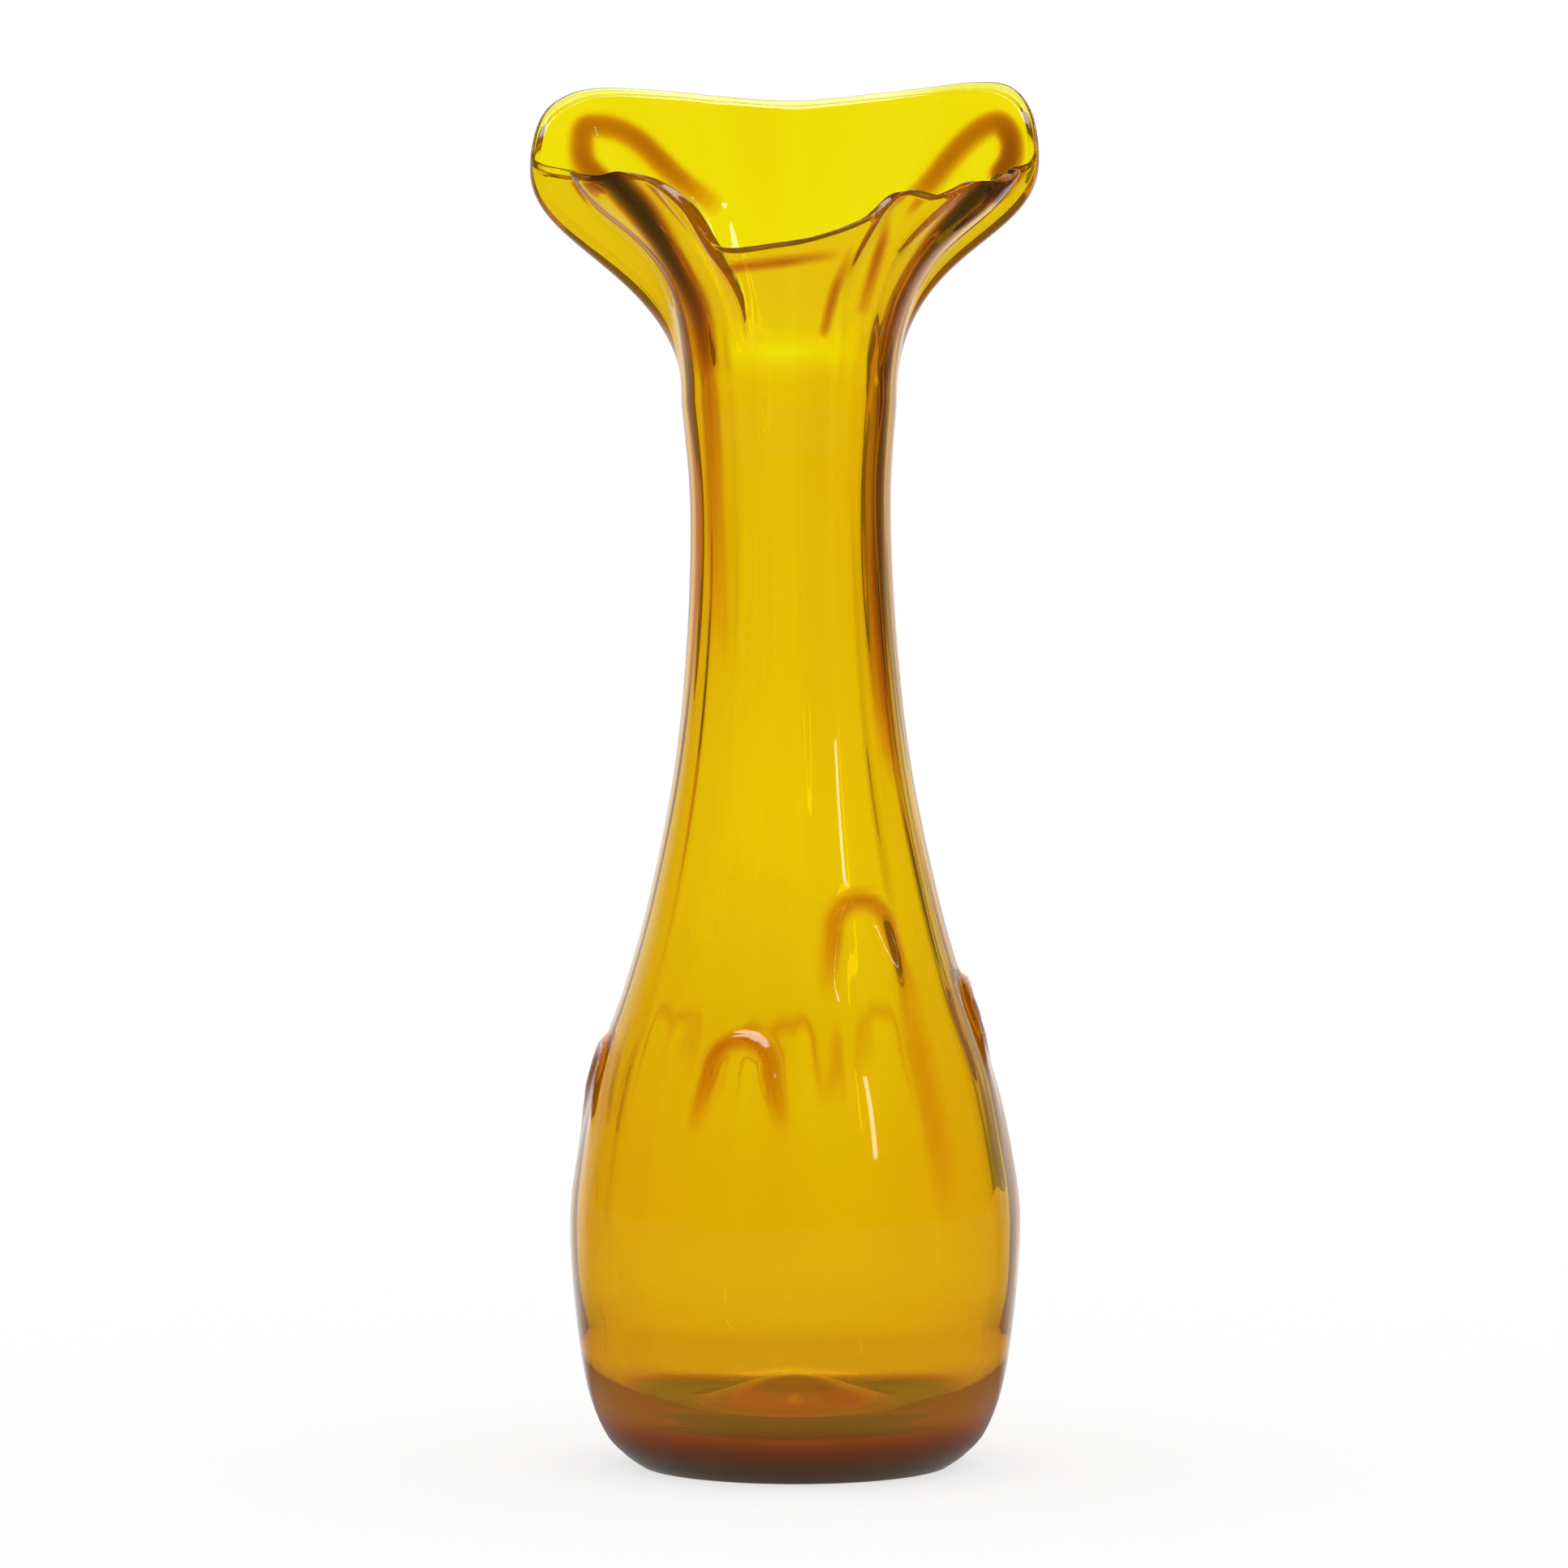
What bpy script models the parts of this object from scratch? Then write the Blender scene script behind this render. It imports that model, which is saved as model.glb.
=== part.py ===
"""Hand-blown amber glass vase with a swept two-eared collar and seven nips.

The wall is one blown bubble: a heavy foot, a round bowl, a long neck and a
collar that the maker drew out into two ears, with a tall back lip and a low
front lip.  Each nip is a bit of glass laid on the bowl as a small arch, with a
finger-like scoop in the wall below it.

Frame: +Z up, origin at the middle of the flat foot, -Y towards the low lip.
"""

import functools
import math

import bmesh
import bpy
from mathutils import Vector

MM = 0.001
QUARTER_TURN = math.radians(90)

# Foot, bowl and neck
BASE_RADIUS = 33.0 * MM
BOWL_RADIUS = 48.2 * MM
BOWL_HEIGHT = 52.0 * MM
NECK_RADIUS = 21.5 * MM
NECK_HEIGHT = 205.0 * MM
NECK_TOP_RADIUS = 23.0 * MM
COLLAR_START = 226.0 * MM

# Outline of the wall as shares of the step from one named size to the next
HEEL_SHARES = ((0.0, 0.0), (0.05, 0.24), (0.14, 0.51), (0.33, 0.755), (0.63, 0.912), (1.0, 1.0))
SHOULDER_SHARES = (
    (0.0, 0.0), (0.098, 0.06), (0.209, 0.2), (0.32, 0.434), (0.451, 0.648),
    (0.634, 0.858), (0.817, 0.966), (1.0, 1.0),
)

# Collar: reach of the ears, depth of the lips and height of the rim
RIM_HEIGHT = 298.0 * MM
EAR_REACH = 54.4 * MM
LIP_REACH = 34.0 * MM
LEAN = 2.5 * MM
FLARE_SHARE = 0.30

# Rim seen from above, from the front lip leftwards round to the front again:
# across as a share of EAR_REACH, depth as a share of LIP_REACH, height as a
# share of the step from COLLAR_START to RIM_HEIGHT, how far the wall leans out
# at the rim as a share of a quarter turn, and the share of the way up over
# which the wall still runs straight up from the neck
RIM_SHARES = (
    (-0.05, -0.88, 0.415, 0.45, 0.55), (-0.21, -0.87, 0.405, 0.45, 0.55), (-0.29, -0.84, 0.425, 0.50, 0.55),
    (-0.38, -0.80, 0.535, 0.55, 0.60), (-0.50, -0.74, 0.585, 0.55, 0.65), (-0.62, -0.66, 0.605, 0.50, 0.70),
    (-0.71, -0.55, 0.595, 0.45, 0.75), (-0.82, -0.34, 0.63, 0.35, 0.80), (-0.82, -0.12, 0.67, 0.20, 0.80),
    (-0.95, 0.06, 0.70, 0.0, 0.65), (-1.00, 0.22, 0.74, -0.10, 0.55), (-0.975, 0.37, 0.835, 0.0, 0.55),
    (-0.90, 0.50, 0.90, 0.10, 0.55), (-0.76, 0.65, 0.945, 0.20, 0.55), (-0.50, 0.80, 0.95, 0.25, 0.50),
    (0.00, 0.98, 0.93, 0.25, 0.50), (0.41, 0.90, 0.95, 0.25, 0.50), (0.74, 0.68, 0.965, 0.20, 0.50),
    (0.90, 0.52, 0.945, 0.10, 0.55), (0.985, 0.37, 0.875, 0.0, 0.60), (1.01, 0.22, 0.78, -0.10, 0.64),
    (0.98, 0.08, 0.71, 0.0, 0.68), (0.89, -0.06, 0.68, 0.20, 0.70), (0.92, -0.22, 0.64, 0.30, 0.75),
    (0.86, -0.42, 0.59, 0.45, 0.75), (0.74, -0.56, 0.585, 0.50, 0.70), (0.60, -0.68, 0.54, 0.50, 0.65),
    (0.47, -0.76, 0.555, 0.50, 0.60), (0.33, -0.82, 0.495, 0.45, 0.55), (0.14, -0.87, 0.44, 0.45, 0.55),
)

# Thickness of the glass
BOWL_WALL = 4.4 * MM
RIM_WALL = 3.0 * MM
FLOOR_HEIGHT = 8.0 * MM
FLOOR_CORNER = 11.0 * MM
FLOOR_RISE = 10.0 * MM
KICK_UP = 8.0 * MM
KICK_RADIUS = 24.0 * MM

# Nips: bearing from the front lip towards +X, and height of the crest
NIPS = (
    ("nip_front_left", -16.0, 92.0 * MM),
    ("nip_front_right", 26.5, 120.5 * MM),
    ("nip_right", 86.0, 100.5 * MM),
    ("nip_back_right", 147.0, 94.0 * MM),
    ("nip_back", 181.0, 91.5 * MM),
    ("nip_back_left", -133.0, 94.5 * MM),
    ("nip_left", -82.0, 90.0 * MM),
)
NIP_WIDTH = 13.0 * MM
NIP_LEG = 10.0 * MM
NIP_CREST_RADIUS = 1.6 * MM
NIP_TIP_RADIUS = 0.5 * MM
SEAT_GAP = 0.35 * MM
SCOOP_DEPTH = 1.8 * MM
SCOOP_LENGTH = 46.0 * MM

# Number of facets
AROUND = 48
HEEL_ROWS = 8
SHOULDER_ROWS = 28
COLLAR_ROWS = 12
OUTER_ROWS_PER_INNER_ROW = 2
BEAD_ROWS = 3
CORNER_ROWS = 5
KICK_ROW_SHARES = (0.75, 0.5, 0.25)
NIP_ROWS = 13

# Steps that normals are measured over, and how closely places are searched for
NORMAL_STEP = 0.01
SEARCH_ROUNDS = 40

GLASS_COLOUR = (0.80, 0.46, 0.01, 1.0)
GLASS_ROUGHNESS = 0.03
GLASS_IOR = 1.5


def clear_scene():
    for item in list(bpy.data.objects):
        bpy.data.objects.remove(item, do_unlink=True)


def smooth_between(points, place, closed=False):
    """Catmull-Rom value at place, counted in points along the list."""
    count = len(points)
    index = int(math.floor(place))
    if not closed:
        index = max(0, min(count - 2, index))
    part = place - index

    def at(i):
        return Vector(points[i % count] if closed else points[max(0, min(count - 1, i))])

    before, start, end, after = at(index - 1), at(index), at(index + 1), at(index + 2)
    slope_in = (end - before) / 2
    slope_out = (after - start) / 2
    square, cube = part * part, part * part * part
    return (
        start * (2 * cube - 3 * square + 1)
        + slope_in * (cube - 2 * square + part)
        + end * (3 * square - 2 * cube)
        + slope_out * (cube - square)
    )


def body_outline():
    """Outer outline of foot, bowl and neck, as (radius, height) from foot to collar."""
    outline = []
    for rise, swell in HEEL_SHARES:
        radius = BASE_RADIUS + swell * (BOWL_RADIUS - BASE_RADIUS)
        outline.append((radius, rise * BOWL_HEIGHT, 0.0))
    for rise, draw in SHOULDER_SHARES[1:]:
        radius = BOWL_RADIUS + draw * (NECK_RADIUS - BOWL_RADIUS)
        outline.append((radius, BOWL_HEIGHT + rise * (NECK_HEIGHT - BOWL_HEIGHT), 0.0))
    outline.append((NECK_TOP_RADIUS, COLLAR_START, 0.0))
    return outline


OUTLINE = body_outline()


def lean_at(height):
    """Sideways lean of the axis, which starts above the bowl."""
    share = (height - BOWL_HEIGHT) / (RIM_HEIGHT - BOWL_HEIGHT)
    share = max(0.0, min(1.0, share))
    return -LEAN * share * share


def direction(bearing):
    """Level unit vector at a bearing counted from the front lip towards +X."""
    return Vector((math.sin(bearing), -math.cos(bearing), 0.0))


def radius_at(height):
    """Outer radius of the body at a height, found along the outline."""
    low, high = 0.0, float(len(OUTLINE) - 1)
    for _ in range(SEARCH_ROUNDS):
        middle = (low + high) / 2
        if smooth_between(OUTLINE, middle).y < height:
            low = middle
        else:
            high = middle
    return smooth_between(OUTLINE, low).x


def hump(share):
    """1 at the middle and 0 at the ends of -1 to 1, with a level start."""
    share = min(1.0, abs(share))
    return (1 - share * share) ** 2


def scoop_at(bearing, radius, height):
    """Depth of the finger scoops below the nips at a place on the body."""
    depth = 0.0
    for _, degrees, crest in NIPS:
        below = (crest - height) / SCOOP_LENGTH
        if not 0.0 < below < 1.0:
            continue
        turn = bearing - math.radians(degrees)
        turn = math.atan2(math.sin(turn), math.cos(turn))
        across = turn * radius / (NIP_WIDTH / 2)
        fade = min(1.0, below * SCOOP_LENGTH / (NIP_WIDTH / 2)) * (1 - below)
        depth += SCOOP_DEPTH * hump(across) * fade
    return depth


def body_point(bearing, place):
    """Outer point of foot, bowl or neck at a place along the outline."""
    radius, height, _ = smooth_between(OUTLINE, place)
    radius -= scoop_at(bearing, radius, height)
    return direction(bearing) * radius + Vector((lean_at(height), 0.0, height))


def rim_bearing(shares):
    """Bearing of a rim point, taken on the rim's shares so that it runs evenly."""
    return math.atan2(shares[0], -shares[1]) % math.tau


@functools.cache
def rim_at(bearing):
    """Outer edge of the rim at a bearing, the wall's direction there and its straight share."""
    across, depth, rise, flare, straight = smooth_between(RIM_SHARES, rim_place(bearing), closed=True)
    height = COLLAR_START + rise * (RIM_HEIGHT - COLLAR_START)
    level = Vector((across * EAR_REACH, depth * LIP_REACH, 0.0))
    lean = QUARTER_TURN * flare
    upward = level.normalized() * math.sin(lean) + Vector((0.0, 0.0, math.cos(lean)))
    return level + Vector((-LEAN, 0.0, height)), upward, straight


def rim_place(bearing):
    """Place along the rim whose bearing is the given one."""
    count = len(RIM_SHARES)
    wanted = -bearing % math.tau
    start = -rim_bearing(RIM_SHARES[0]) % math.tau
    turn = (wanted - start) % math.tau
    low, high = 0.0, float(count)
    for _ in range(SEARCH_ROUNDS):
        middle = (low + high) / 2
        found = -rim_bearing(smooth_between(RIM_SHARES, middle, closed=True)) % math.tau
        if (found - start) % math.tau < turn:
            low = middle
        else:
            high = middle
    return low


def collar_point(bearing, share):
    """Outer point of the collar: a sweep from the neck up and out to the rim."""
    start = direction(bearing) * NECK_TOP_RADIUS + Vector((lean_at(COLLAR_START), 0.0, COLLAR_START))
    end, upward, straight = rim_at(bearing)
    first = start + Vector((0.0, 0.0, straight * (end.z - start.z)))
    second = end - upward * FLARE_SHARE * (end - start).length
    rest = 1 - share
    return (
        start * rest ** 3 + first * 3 * rest * rest * share
        + second * 3 * rest * share * share + end * share ** 3
    )


def outer_point(bearing, place):
    """Outer point of the wall: the body up to its last outline point, then the collar."""
    last = len(OUTLINE) - 1
    if place <= last:
        return body_point(bearing, place)
    return collar_point(bearing, place - last)


def outward_at(bearing, place):
    """Unit normal of the outer surface."""
    low, high = max(0.0, place - NORMAL_STEP), min(float(len(OUTLINE)), place + NORMAL_STEP)
    along = outer_point(bearing, high) - outer_point(bearing, low)
    around = outer_point(bearing + NORMAL_STEP, place) - outer_point(bearing - NORMAL_STEP, place)
    return around.cross(along).normalized()


def wall_at(height):
    """Thickness of the glass, from the bowl to the rim."""
    share = (height - BOWL_HEIGHT) / (NECK_HEIGHT - BOWL_HEIGHT)
    share = max(0.0, min(1.0, share))
    return BOWL_WALL + share * (RIM_WALL - BOWL_WALL)


def inner_point(bearing, place):
    """Point of the inner surface behind an outer point."""
    point = outer_point(bearing, place)
    return point - outward_at(bearing, place) * wall_at(point.z)


def bearings():
    return [math.tau * i / AROUND for i in range(AROUND)]


def outer_places():
    """Places of the rows of the outer surface, from the foot to the rim."""
    heel = len(HEEL_SHARES) - 1
    last = len(OUTLINE) - 1
    places = [heel * i / HEEL_ROWS for i in range(HEEL_ROWS)]
    places += [heel + (last - heel) * i / SHOULDER_ROWS for i in range(SHOULDER_ROWS)]
    places += [last + i / COLLAR_ROWS for i in range(COLLAR_ROWS + 1)]
    return places


def bead_ring(turn):
    """Ring over the rounded edge of the rim, turn going from outside to inside."""
    top = float(len(OUTLINE))
    ring = []
    for bearing in bearings():
        outside, inside = outer_point(bearing, top), inner_point(bearing, top)
        middle = (outside + inside) / 2
        up = (outside - outer_point(bearing, top - NORMAL_STEP)).normalized()
        half = (outside - middle).length
        ring.append(middle + (outside - middle) * math.cos(turn) + up * half * math.sin(turn))
    return ring


def floor_rings(wall_ring):
    """Rings of the cavity floor, from the wall round the corner to the middle."""
    rings = []
    start = sum((point.z for point in wall_ring)) / len(wall_ring)
    for row in range(1, CORNER_ROWS + 1):
        turn = QUARTER_TURN * row / CORNER_ROWS
        height = start - (start - FLOOR_HEIGHT) * math.sin(turn)
        inset = FLOOR_CORNER * (1 - math.cos(turn))
        ring = []
        for point in wall_ring:
            level = Vector((point.x, point.y, 0.0))
            spot = level - level.normalized() * inset
            ring.append(Vector((spot.x, spot.y, height)))
        rings.append(ring)
    for share in KICK_ROW_SHARES:
        radius = share * KICK_RADIUS
        height = FLOOR_HEIGHT + KICK_UP * hump(share)
        rings.append([direction(b) * radius + Vector((0.0, 0.0, height)) for b in bearings()])
    return rings


def wall_rings():
    """All rings of the closed wall, from the foot over the rim to the floor."""
    places = outer_places()
    rings = [[outer_point(b, place) for b in bearings()] for place in places]
    for row in range(1, BEAD_ROWS + 1):
        rings.append(bead_ring(math.pi * row / (BEAD_ROWS + 1)))
    corner_top = FLOOR_HEIGHT + FLOOR_RISE
    inner = [p for p in places[::-1][::OUTER_ROWS_PER_INNER_ROW] if smooth_height(p) > corner_top]
    rings += [[inner_point(b, place) for b in bearings()] for place in inner]
    return rings + floor_rings(rings[-1])


def smooth_height(place):
    """Height on the outline at a place, or the rim's height above the neck."""
    last = len(OUTLINE) - 1
    return RIM_HEIGHT if place > last else smooth_between(OUTLINE, place).y


def loft(name, rings, bottom, top):
    """Closed mesh through rings of equal count, with a middle point at both ends."""
    mesh = bpy.data.meshes.new(name)
    build = bmesh.new()
    rows = [[build.verts.new(point) for point in ring] for ring in rings]
    for lower, upper in zip(rows, rows[1:]):
        for i in range(len(lower)):
            j = (i + 1) % len(lower)
            build.faces.new((lower[i], lower[j], upper[j], upper[i]))
    for row, middle, flip in ((rows[0], bottom, True), (rows[-1], top, False)):
        centre = build.verts.new(middle)
        for i in range(len(row)):
            j = (i + 1) % len(row)
            corners = (row[j], row[i], centre) if flip else (row[i], row[j], centre)
            build.faces.new(corners)
    bmesh.ops.recalc_face_normals(build, faces=build.faces)
    build.to_mesh(mesh)
    build.free()
    mesh.shade_smooth()
    return mesh


def glass_material(name):
    """Clear amber glass."""
    material = bpy.data.materials.new(name)
    material.use_nodes = True
    shader = material.node_tree.nodes["Principled BSDF"]
    shader.inputs["Base Color"].default_value = GLASS_COLOUR
    shader.inputs["Roughness"].default_value = GLASS_ROUGHNESS
    shader.inputs["Metallic"].default_value = 0.0
    shader.inputs["IOR"].default_value = GLASS_IOR
    shader.inputs["Transmission Weight"].default_value = 1.0
    material.diffuse_color = GLASS_COLOUR
    return material


def add_object(name, data, collection):
    item = bpy.data.objects.new(name, data)
    data.materials.append(glass_material("glass_" + name))
    collection.objects.link(item)
    return item


def add_body(collection):
    """The blown wall, closed over the rim and round the cavity."""
    bottom = Vector((0.0, 0.0, 0.0))
    top = Vector((0.0, 0.0, FLOOR_HEIGHT + KICK_UP))
    return add_object("vase_body", loft("vase_body", wall_rings(), bottom, top), collection)


def arch_point(share, width, leg):
    """Point of a flat arch at a share of its length: up one leg, over, and down."""
    half = width / 2
    bow = math.pi * half
    length = 2 * leg + bow
    gone = share * length
    if gone < leg:
        return (-half, -half - (leg - gone))
    if gone > leg + bow:
        return (half, -half - (gone - leg - bow))
    turn = (gone - leg) / half
    return (-half * math.cos(turn), -half + half * math.sin(turn))


def add_nip(name, degrees, crest, collection):
    """A bit of glass laid on the bowl as an arch that thins down both legs."""
    curve = bpy.data.curves.new(name, "CURVE")
    curve.dimensions = "3D"
    curve.bevel_depth = NIP_CREST_RADIUS
    curve.bevel_resolution = 1
    curve.use_fill_caps = True
    spline = curve.splines.new("POLY")
    spline.points.add(NIP_ROWS - 1)
    for i, point in enumerate(spline.points):
        share = i / (NIP_ROWS - 1)
        across, rise = arch_point(share, NIP_WIDTH, NIP_LEG)
        height = crest + rise
        radius = radius_at(height)
        bearing = math.radians(degrees) + across / radius
        thick = NIP_TIP_RADIUS + (NIP_CREST_RADIUS - NIP_TIP_RADIUS) * math.sin(math.pi * share)
        slope = (radius_at(height + NIP_CREST_RADIUS) - radius_at(height - NIP_CREST_RADIUS))
        slope /= 2 * NIP_CREST_RADIUS
        outward = (direction(bearing) - Vector((0.0, 0.0, slope))).normalized()
        wall = direction(bearing) * radius + Vector((lean_at(height), 0.0, height))
        spot = wall + outward * (thick + SEAT_GAP)
        point.co = (spot.x, spot.y, spot.z, 1.0)
        point.radius = thick / NIP_CREST_RADIUS
    return add_object(name, curve, collection)


def main():
    clear_scene()
    collection = bpy.data.collections.new("amber_vase")
    bpy.context.scene.collection.children.link(collection)
    add_body(collection)
    for name, degrees, crest in NIPS:
        add_nip(name, degrees, crest, collection)


main()
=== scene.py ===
"""Looks of the hand-blown amber glass vase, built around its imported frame.

One continuous skin of glass stands for the blown wall and the nips fused to it.
The wall's outer and inner surfaces come from one outline and one rim, and a
Geometry Nodes tree draws each nip and its finger scoop out of the skin.
"""

import logging
import math
from dataclasses import dataclass, field
from enum import Enum

import bpy
import numpy as np
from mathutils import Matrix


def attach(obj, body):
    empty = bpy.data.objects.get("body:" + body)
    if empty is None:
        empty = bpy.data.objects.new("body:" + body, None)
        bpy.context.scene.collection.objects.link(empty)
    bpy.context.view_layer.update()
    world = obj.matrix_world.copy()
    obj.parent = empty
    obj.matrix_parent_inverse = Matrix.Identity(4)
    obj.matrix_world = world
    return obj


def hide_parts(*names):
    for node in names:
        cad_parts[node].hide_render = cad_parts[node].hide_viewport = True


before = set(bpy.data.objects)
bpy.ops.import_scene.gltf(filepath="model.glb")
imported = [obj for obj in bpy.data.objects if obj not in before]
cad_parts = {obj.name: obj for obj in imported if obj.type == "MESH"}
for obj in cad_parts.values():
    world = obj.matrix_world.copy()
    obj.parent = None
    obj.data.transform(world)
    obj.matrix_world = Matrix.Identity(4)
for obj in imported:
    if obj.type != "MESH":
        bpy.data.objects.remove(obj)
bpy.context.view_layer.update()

Array = np.ndarray
Grid = np.ndarray  # rows by columns by three
Socket = bpy.types.NodeSocket
Colour = tuple[float, float, float]
Pair = tuple[float, float]

MM = 0.001
QUARTER_TURN = math.pi / 2
FULL_TURN = math.tau
WHITE = (1.0, 1.0, 1.0, 1.0)
LINE_STEPS = 96  # places along the line of a crease
LINE_EVENING = 6  # places to either side that even out the line's depth
RIM_STEPS = 4001  # places round the rim, to find the one at a bearing
OUTLINE_STEPS = 400  # places along the outline, to find the one at a height
BEYOND = 1.0  # metres, farther than any point of the vase
HAIR = 1e-6  # metres, less than any gap between points
BACKWARD = (0.5, 0.9)  # shares of a way that lead to the back, where gloss turns pale
LOG = logging.getLogger("vase")


class Skin(Enum):
    """Side of the glass wall that a point lies on, as stored on the mesh."""

    OUTER = 1.0
    INNER = 0.0


def smooth_along(points: Array, places: Array, closed: bool = False) -> Array:
    """Catmull-Rom values at places counted in points along a list.

    Args:
        points: Rows of coordinates that the curve passes through.
        places: Places along the list, where 1.5 is halfway from point 1 to point 2.
        closed: Whether the last point runs on to the first.

    Returns:
        One row of coordinates for each place.
    """
    count = len(points)
    index = np.floor(places).astype(int)
    if not closed:
        index = np.clip(index, 0, count - 2)
    part = (places - index)[:, None]

    def row(step: int) -> Array:
        """Points a number of steps on from each place's own."""
        wanted = index + step
        return points[wanted % count] if closed else points[np.clip(wanted, 0, count - 1)]

    before, start, end, after = row(-1), row(0), row(1), row(2)
    square, cube = part ** 2, part ** 3
    return (
        start * (2 * cube - 3 * square + 1)
        + (end - before) / 2 * (cube - 2 * square + part)
        + end * (3 * square - 2 * cube)
        + (after - start) / 2 * (cube - square)
    )


def level_direction(bearings: Array) -> Array:
    """Level unit vectors at bearings counted from the front lip towards +X."""
    return np.stack([np.sin(bearings), -np.cos(bearings), np.zeros_like(bearings)], axis=-1)


def ramp(values: Array, low: float, high: float) -> Array:
    """Smooth step from 0 to 1 while values go from low to high."""
    share = np.clip((values - low) / (high - low), 0.0, 1.0)
    return share * share * (3 - 2 * share)


@dataclass(frozen=True)
class Panel:
    """Bright or dark panel of the studio, as angles seen from the vase, in degrees.

    Attributes:
        bearing: Bearing of its middle, from the camera side towards +X.
        half_width: Half of its width.
        elevation: Elevation of its middle.
        half_height: Half of its height.
        blur: Width of its soft edge.
        strength: What it adds to the brightness there, where 1 is white.
    """

    bearing: float
    half_width: float
    elevation: float
    half_height: float
    blur: float
    strength: float


class NodeWriter:
    """Small helper that writes a node tree one step at a time."""

    def __init__(self, tree: bpy.types.NodeTree) -> None:
        """Keeps the tree that the nodes go into."""
        self.tree = tree

    def join(self, source: object, target: Socket) -> None:
        """Links a socket, or writes a plain value, into a target socket.

        Args:
            source: Socket or plain value.
            target: Input socket that takes it.
        """
        if isinstance(source, Socket):
            self.tree.links.new(source, target)
        else:
            target.default_value = source

    def fill(self, node: bpy.types.Node, inputs: dict) -> None:
        """Joins values into a node's inputs, by their names or numbers."""
        for key, value in inputs.items():
            self.join(value, node.inputs[key])

    def add(self, kind: str, inputs: dict | None = None) -> bpy.types.Node:
        """Adds one node.

        Args:
            kind: Blender's name of the kind of node.
            inputs: Sockets or plain values, by the inputs' names or numbers.

        Returns:
            The new node.
        """
        node = self.tree.nodes.new(kind)
        self.fill(node, inputs or {})
        return node

    def math(self, operation: str, *values: object, clamp: bool = False) -> Socket:
        """Adds one Math node.

        Args:
            operation: Blender's name of the operation.
            values: Sockets or plain numbers, in the node's order.
            clamp: Whether the result is held between 0 and 1.

        Returns:
            The result's socket.
        """
        node = self.add("ShaderNodeMath")
        node.operation = operation
        node.use_clamp = clamp
        self.fill(node, dict(enumerate(values)))
        return node.outputs[0]

    def ramp(
        self, value: object, low: float, high: float, at_low: float = 0.0, at_high: float = 1.0
    ) -> Socket:
        """Smooth step between two levels while a value goes from low to high.

        Args:
            value: Socket or number that is read.
            low: Value where the step starts.
            high: Value where it ends.
            at_low: Level up to low.
            at_high: Level from high.

        Returns:
            The result's socket.
        """
        node = self.add("ShaderNodeMapRange")
        node.interpolation_type = "SMOOTHSTEP"
        self.fill(node, dict(enumerate((value, low, high, at_low, at_high))))
        return node.outputs["Result"]

    def times(self, first: object, second: object) -> Socket:
        """Product of two values."""
        return self.math("MULTIPLY", first, second)

    def mix(self, share: object, first: object, second: object) -> Socket:
        """Blends two values by a share."""
        step = self.times(share, self.math("SUBTRACT", second, first))
        return self.math("ADD", first, step)

    def square_sum(self, first: object, second: object) -> Socket:
        """Sum of the squares of two values."""
        return self.math("ADD", self.math("POWER", first, 2.0), self.math("POWER", second, 2.0))


class ShaderWriter(NodeWriter):
    """Writer of a material's or world's nodes."""

    def blend(self, share: object, first: object, second: object) -> Socket:
        """Blend of two shaders by a share."""
        node = self.add("ShaderNodeMixShader", {0: share, 1: first, 2: second})
        return node.outputs["Shader"]

    def mirrored(self, rays: bpy.types.Node) -> Socket:
        """Whether a ray is a mirror image that hasn't come through glass."""
        glossy, through = rays.outputs["Is Glossy Ray"], rays.outputs["Is Transmission Ray"]
        return self.math("SUBTRACT", glossy, through, clamp=True)

    def panel(self, turn: object, tall: object, panel: Panel) -> Socket:
        """Soft-edged shape of a panel, times its strength.

        Args:
            turn: Bearing that a ray goes to, in degrees.
            tall: Elevation that it goes to, in degrees.
            panel: The panel.

        Returns:
            Socket of what the panel adds to the brightness.
        """
        across = self.math("ABSOLUTE", self.math("SUBTRACT", turn, panel.bearing))
        up = self.math("ABSOLUTE", self.math("SUBTRACT", tall, panel.elevation))
        wide = self.ramp(across, panel.half_width, panel.half_width + panel.blur, 1.0, 0.0)
        high = self.ramp(up, panel.half_height, panel.half_height + panel.blur, 1.0, 0.0)
        return self.times(self.times(wide, high), panel.strength)


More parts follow.
